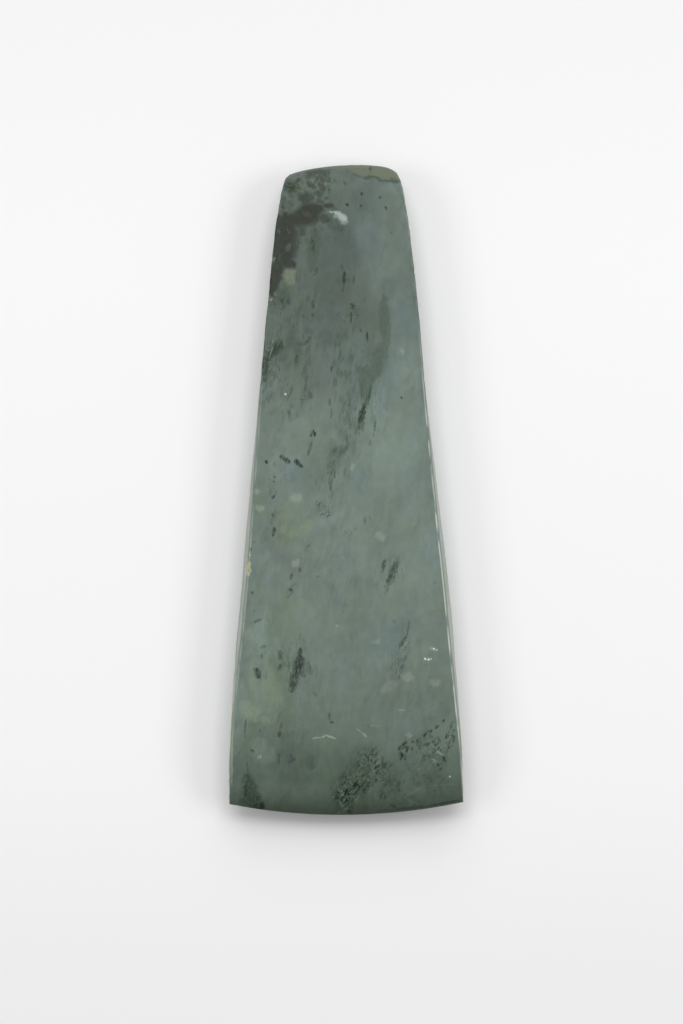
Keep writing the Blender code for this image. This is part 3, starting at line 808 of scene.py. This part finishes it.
        (24.6, -49.4, 24.7, -49.2, 0.3, 0.7), (-17.8, 27.8, -17.7, 27.8, 0.55, 0.8),
        (-28.1, -19, -28.1, -19.1, 0.35, 0.8), (30.2, -83.6, 30.3, -83.7, 0.4, 0.7),
    ],
}


markGroupSize = 20  # a shader overflows with many more marks in one group


def markGroup(name, marks, core):
    tree = bpy.data.node_groups.new(name, "ShaderNodeTree")
    tree.interface.new_socket("Place", in_out="INPUT", socket_type="NodeSocketVector")
    tree.interface.new_socket("Ink", in_out="OUTPUT", socket_type="NodeSocketFloat")
    desk = Wire(tree)
    ink = deepest(desk, desk.node("NodeGroupInput"), marks, core)
    ink.feed(tree.nodes.new("NodeGroupOutput"), "Ink")
    return tree


# Fields of fine pattern: where they lie, and the winding lines or spots that fill them.
wormPlaces = [
    (8.6, -76, 3.4, -88, 7, 0.9), (2.4, -84, -2, -93.4, 6.6, 1), (9.6, -79, 11, -90, 6, 0.65),
    (22.4, -72.6, 27.6, -80, 5.4, 0.75), (28.3, -80.7, 31.2, -66.7, 3.2, 0.65),
    (17.5, -74, 17, -78.5, 3, 0.9), (14, -86, 20, -92, 4, 0.4), (19, -79, 29, -88, 6.5, 0.28),
]
hatchPlaces = [
    (-7.1, -3.9, -6.5, -8.2, 3, 1), (-10.6, -14.9, -10.6, -17.6, 1.8, 0.8),
    (-16.1, -29.2, -17.6, -31.6, 2.8, 0.9), (1, -10, 2.5, -14, 3, 0.4), (-17, -46, -19, -53, 3, 0.35),
    (17, -44, 14, -52, 3.4, 0.45), (11.9, -20.5, 12.4, -28, 3.2, 0.45), (26.5, -78, 28, -81, 3.5, 0.7),
]
mottlePlaces = [
    (-15.5, 88.4, -4, 89.2, 5, 0.85), (-19, 82, -8, 71, 9, 0.35), (-21.5, 62, -20, 52, 5, 0.7),
    (-22, 46, -24, 28, 4, 0.5),
]
treePlaces = [
    (-14.5, -46, -14.5, -57, 5, 0.5), (-20, -46, -22, -53, 6, 0.25),
]
fleckPlaces = [
    (-15, 62, -17, 20, 13, 1), (-3, 62, -3, 30, 10, 0.9), (4, 50, 1, 14, 9, 0.8), (0, 14, -8, -6, 9, 0.6),
    (-20, 8, -20, -14, 5, 0.45), (13, -19, 11, -30, 7, 0.6), (-13, -44, -16, -60, 9, 0.6),
    (-24, -44, -24, -56, 7, 0.5), (16, -40, 14, -56, 7, 0.55), (-20, -66, -18, -82, 10, 0.55),
    (-28, -64, -29, -80, 4, 0.5), (10, 32, 7, 10, 5, 0.4),
]
veinPlaces = [
    (-13, 62, -16, 24, 11, 1), (0, 62, -1, 28, 10, 0.9), (5, 40, -2, 8, 7, 0.8), (-22, 44, -24, 16, 5, 0.7),
    (-16, -66, -15, -84, 9, 0.5),
]
stoneFields = {
    "wormGround": {
        "colour": seen(78, 89, 79), "places": wormPlaces, "grain": (2.2, 3.2, 2.2),
        "lean": -20, "spots": (0.38, 0.62), "seed": 20, "share": 0.8,
    },
    "wormPale": {
        "colour": seen(122, 135, 124), "places": wormPlaces, "grain": (1.7, 2.6, 1.7),
        "lean": -25, "lines": (0.060, 0.010), "seed": 22, "share": 0.75,
    },
    "wormDark": {
        "colour": (0.004, 0.016, 0.006, 1.0), "places": wormPlaces, "grain": (0.75, 1.7, 1.0),
        "lean": -24, "spots": (0.50, 0.59), "seed": 21,
    },
    "wormDots": {
        "colour": (0.002, 0.008, 0.003, 1.0), "places": wormPlaces, "grain": (0.6, 1.0, 0.8),
        "lean": 10, "spots": (0.62, 0.70), "seed": 23,
    },
    "hatchDark": {
        "colour": seen(58, 70, 60), "places": hatchPlaces, "grain": (0.45, 1.3, 0.6),
        "lean": -32, "lines": (0.10, 0.02), "seed": 24, "share": 0.8,
    },
    "hatchPale": {
        "colour": seen(150, 162, 152), "places": hatchPlaces, "grain": (0.45, 1.1, 0.6),
        "lean": -32, "spots": (0.56, 0.68), "seed": 25, "share": 0.7,
    },
    "brownMottle": {
        "colour": seen(70, 70, 63), "places": mottlePlaces, "grain": (1.6, 2.2, 1.6),
        "lean": 25, "spots": (0.46, 0.60), "seed": 26, "share": 0.9,
    },
    "veins": {
        "colour": seen(80, 94, 83), "places": veinPlaces, "grain": (2.2, 9.0, 3.0),
        "lean": -9, "spots": (0.48, 0.62), "seed": 30, "share": 0.6,
    },
    "fleck": {
        "colour": seen(72, 84, 74), "places": fleckPlaces, "grain": (0.6, 2.6, 0.9),
        "lean": -9, "spots": (0.60, 0.72), "seed": 28, "share": 0.8,
    },
    "softFleck": {
        "colour": seen(86, 99, 90), "places": fleckPlaces, "grain": (1.5, 5.0, 2.0),
        "lean": -10, "spots": (0.52, 0.68), "seed": 29, "share": 0.85,
    },
    "greenMottle": {
        "colour": seen(66, 77, 66), "places": mottlePlaces + treePlaces, "grain": (1.3, 1.8, 1.3),
        "lean": -15, "spots": (0.50, 0.62), "seed": 27, "share": 0.8,
    },
}


def groundColour(desk, place, along):
    # The stone's colour from butt to edge, partly its own tone and partly a painted sheen that is brightest
    # over the middle, and the patterns that its finish follows too.
    look, grains, lean = stoneLook, stoneLook["grains"], stoneLook["streak lean"]
    bent = place.strayed(place, (look["streak wander"],) * 3, grains["wander"], detail=1, seed=9)

    def pattern(name, around, lean=lean):
        size, detail, rough, seed, reach = look[name]
        found = around.noise(size, lean=lean, detail=detail, rough=rough, seed=seed)
        return found, (found - 0.5) * reach

    clouds, cloudsLight = pattern("clouds", place)
    mottles, mottlesLight = pattern("mottles", bent)
    wisps, wispsLight = pattern("wisps", bent)
    grain, grainLight = pattern("grain", place, lean=0.0)
    strandsLight = pattern("strands", bent)[1]
    flecks = place.noise(grains["fleck patches"], detail=1, seed=19)
    flecks = wisps.ease(0.60, 0.76) * flecks.ease(0.42, 0.62)

    # painted sheen: the middle tone is lighter, and the butt, blade and edge tones darker, partly as the
    # stone's own tone
    base = desk.node("ShaderNodeRGB")
    base.socket.default_value = look["middle tone and painted sheen"]
    for name in ("butt tone", "blade tone", "edge tone"):
        tone, start, full = look[name]
        base = base.mixColour(tone, along.ease(start, full))
    hue = bent.noise(grains["hue"], lean=lean, detail=2, seed=15)
    base = base.mixColour(look["bluish"], hue.ease(0.48, 0.68), "MULTIPLY")
    base = base.mixColour(look["yellowish"], hue.ease(0.50, 0.32), "MULTIPLY")
    busy = place.noise(grains["busy"], detail=1, seed=20).ease(0.38, 0.62, 0.35, 1.35)
    bright = 1 + cloudsLight + mottlesLight + grainLight
    bright = bright + (strandsLight + wispsLight - flecks * look["fleck darkness"]) * busy
    base = desk.node("ShaderNodeVectorMath", {"operation": "SCALE"}, {0: base, "Scale": bright})
    return base, {"clouds": clouds, "mottles": mottles, "wisps": wisps, "flecks": flecks, "grain": grain}


def shoulderWearAndHighlights(desk, base, place, pastArris, onLedge):
    # A painted highlight along the arris, partly paler worn stone, then a darker groove, then streaks that
    # follow the side. The shoulders also carry a painted sheen, brighter on the right than on the left.
    across, along = place.part("X"), place.part("Y")
    sideways = {0: pastArris * 2.2, 1: along / 16, 2: pastArris * 0}
    followsSide = desk.node("ShaderNodeCombineXYZ", None, sideways)
    streaks = followsSide.noise(1.0, detail=2, seed=31)
    wear = place.noise(stoneLook["grains"]["wear"], detail=2, seed=32)
    # there is hardly any shoulder near the butt; the right one is painted brighter than the left, a painted
    # light from that side
    reaches = along.ease(44, 12) * onLedge * across.ease(-2, 2, 0.8, 1.0)
    onStreak = streaks.ease(0.50, 0.66) * pastArris.ease(0.5, 0.9)
    inGroove = pastArris.ease(0.25, 0.45) * pastArris.ease(0.85, 0.6)
    # painted highlight along the arris, partly paler worn stone, faded near the butt and the edge and
    # painted brighter on the right
    arrisHighlight = pastArris.ease(-0.25, 0.0) * pastArris.ease(0.42, 0.22) * wear.ease(0.32, 0.56)
    arrisHighlight = arrisHighlight * along.ease(50, 5, 0.15, 0.95) * along.ease(-88, -62, 0.6, 1)
    for name, area in (
        ("shoulder tone and sheen", pastArris.ease(0.35, 0.75) * reaches),
        ("bright streak", onStreak * reaches),
        ("groove tone", inGroove * reaches),
        ("arris highlight tone", arrisHighlight * onLedge * across.ease(-2, 2, 0.4, 1.0)),
    ):
        tone, cover = stoneLook[name]
        base = base.mixColour(tone, area * cover)
    return base


def naturalMarks(desk, base, place, onTop):
    # The marks one by one, then the fields of fine pattern.
    look, grains, lean = stoneLook, stoneLook["grains"], stoneLook["streak lean"]
    flat = desk.vector("MULTIPLY", place, (1, 1, 0))
    ragged = {}
    for name, (size, reach, eaten, seed) in look["rims"].items():
        moves = (reach, reach, eaten)
        ragged[name] = place.strayed(flat, moves, size, lean=lean, detail=3, rough=0.6, seed=seed)

    def spread(name, kind, places):
        ink, rim = None, ragged[kind.get("ragged", "broad")]
        for first in range(0, len(places), markGroupSize):
            marks = places[first : first + markGroupSize]
            group = markGroup(f"{name}{first}", marks, kind.get("core", 0.1))
            deep = desk.node("ShaderNodeGroup", {"node_tree": group}, {"Place": rim})
            ink = deep if ink is None else desk.sum("MAXIMUM", ink, deep)
        return ink if kind.get("through") else ink * onTop

    dashes = place.noise(grains["dashes"], lean=look["dash lean"], detail=2, rough=0.6, seed=33)
    dashes = dashes.ease(0.34, 0.54)
    for name, kind in stoneMarks.items():
        ink = spread(name, kind, markPlaces[name])
        ink = ink * mix(1, dashes, kind["dashed"]) if kind.get("dashed") else ink
        base = base.mixColour(kind["colour"], ink, kind.get("blend", "MIX"))
    for name, kind in stoneFields.items():
        seed = kind["seed"]
        fill = place.noise(kind["grain"], lean=math.radians(kind["lean"]), detail=2, seed=seed)
        fill = abs(fill - 0.5).ease(*kind["lines"]) if "lines" in kind else fill.ease(*kind["spots"])
        gaps = place.noise(grains["gaps"], lean=lean, detail=2, seed=seed + 0.5)
        ink = spread(name, kind, kind["places"]) * (fill * gaps.ease(0.36, 0.60))
        base = base.mixColour(kind["colour"], ink * kind.get("share", 1.0))
    return base


def softSheen(desk, shader, place, patterns):
    # How rough the polish is, and the surface's fine grain.
    look, high = stoneLook, stoneLook["bump"]
    roughness = look["roughness"] + (patterns["clouds"] - 0.5) * 0.12 + (patterns["mottles"] - 0.5) * 0.08
    roughness = mix(roughness, look["rind roughness"], place.part("Y").ease(91.5, 94.0))
    roughness.feed(shader, "Roughness")
    shader.inputs["Specular IOR Level"].default_value = look["gloss"]
    waves = place.noise(look["grains"]["waves"], lean=look["streak lean"], detail=2, seed=16)
    height = waves * high["waves"] + patterns["wisps"] * high["wisps"]
    height = height - patterns["flecks"] * high["flecks"] + patterns["grain"] * high["grain"]
    bump = desk.node("ShaderNodeBump", None, {"Height": height, "Distance": 0.001, "Strength": 1.0})
    bump.feed(shader, "Normal")


def greenstone():
    material, desk, shader = newMaterial("greenstone")
    place = desk.vector("MULTIPLY", desk.node("ShaderNodeTexCoord", out="Object"), (1000, 1000, 1000))

    def kept(name):
        return desk.node("ShaderNodeAttribute", {"attribute_name": name}, out="Fac")

    pastArris, buried, ends = kept("pastArris"), kept("buried"), kept("closing")
    base, patterns = groundColour(desk, place, place.part("Y"))
    onLedge = buried.ease(3.2, 0.4) * ends.ease(0.6, 0.1)
    base = shoulderWearAndHighlights(desk, base, place, pastArris, onLedge)
    base = naturalMarks(desk, base, place, buried.ease(6, 0.5))
    base.feed(shader, "Base Color")
    softSheen(desk, shader, place, patterns)
    print("greenstone mixed:", sum(map(len, markPlaces.values())), "marks")
    return material


stone = makeStone(greenstone())
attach(stone, "root")
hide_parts("adze")


# The camera looks straight down; this is where its picture lies on the stone.
view = {
    "height": 1024,
    "metresPerPixel": 0.0002916,
    "middle": (-0.0014, -0.0065),
    "faceHeight": 0.0135,
    "lens": 300.0,
    "sensor": 36.0,
    "clip": (0.05, 20.0),
}


def placeCamera():
    lens = bpy.data.cameras.new("overhead")
    lens.lens, lens.sensor_width = view["lens"], view["sensor"]
    lens.clip_start, lens.clip_end = view["clip"]
    away = view["height"] * view["metresPerPixel"] * view["lens"] / view["sensor"]
    camera = newObject("overhead", lens)
    camera.location = (*view["middle"], view["faceHeight"] + away)
    bpy.context.scene.camera = camera


floorLook = {
    "size": 8.0,
    "colour": (0.93, 0.93, 0.93, 1.0),
    "far colour": (0.88, 0.88, 0.88, 1.0),
    "lit middle": (0.0, 0.05, 0.17),  # where it lies along, where it starts and where it has faded
    "roughness": 0.9,
    "gloss": 0.1,
}


def layFloor():
    bpy.ops.mesh.primitive_plane_add(size=floorLook["size"])
    floor = bpy.context.object
    floor.name = "floor"
    paper, desk, shader = newMaterial("paper")
    middle, near, far = floorLook["lit middle"]
    along = desk.node("ShaderNodeTexCoord", out="Object").part("Y")
    colour = desk.node("ShaderNodeRGB")
    colour.socket.default_value = floorLook["colour"]
    # a painted pool of light: the floor is lighter along its middle and darker towards both ends
    colour = colour.mixColour(floorLook["far colour"], abs(along - middle).ease(near, far))
    colour.feed(shader, "Base Color")
    shader.inputs["Roughness"].default_value = floorLook["roughness"]
    shader.inputs["Specular IOR Level"].default_value = floorLook["gloss"]
    floor.data.materials.append(paper)


# Each soft light: the way it stands (0 is right, 90 beyond the butt), its height above the floor
# in degrees, its two sides in metres and its watts. All look at the stone from one distance.
lights = {
    "overhead": {"way": 90, "height": 70, "sides": (1.6, 0.59), "power": 13.9},
    "slanting": {"way": 90, "height": 55, "sides": (1.6, 0.85), "power": 14.4},
    "beyond": {"way": 90, "height": 30, "sides": (1.6, 1.02), "power": 12.3},
    "right": {"way": 0, "height": 45, "sides": (1.27, 0.85), "power": 11.5},
    "left": {"way": 180, "height": 45, "sides": (1.27, 0.85), "power": 8.4},
}
lightDistance = 2.4
skyStrength = 0.270


def hangLights():
    for name, light in lights.items():
        lamp = bpy.data.lights.new(name, "AREA")
        lamp.shape, lamp.energy = "RECTANGLE", light["power"]
        lamp.size, lamp.size_y = light["sides"]
        holder = newObject(name, lamp)
        way, height = math.radians(light["way"]), math.radians(light["height"])
        level = math.cos(height)
        away = Vector((math.cos(way) * level, math.sin(way) * level, math.sin(height)))
        holder.location = away * lightDistance
        holder.rotation_euler = away.to_track_quat("Z", "Y").to_euler()
    sky = bpy.data.worlds.new("sky")
    sky.use_nodes = True
    background = sky.node_tree.nodes["Background"]
    background.inputs["Color"].default_value = (1, 1, 1, 1)
    background.inputs["Strength"].default_value = skyStrength
    bpy.context.scene.world = sky


placeCamera()
layFloor()
hangLights()
bpy.context.scene.view_settings.view_transform = "Standard"
print("camera, floor and lights in place")
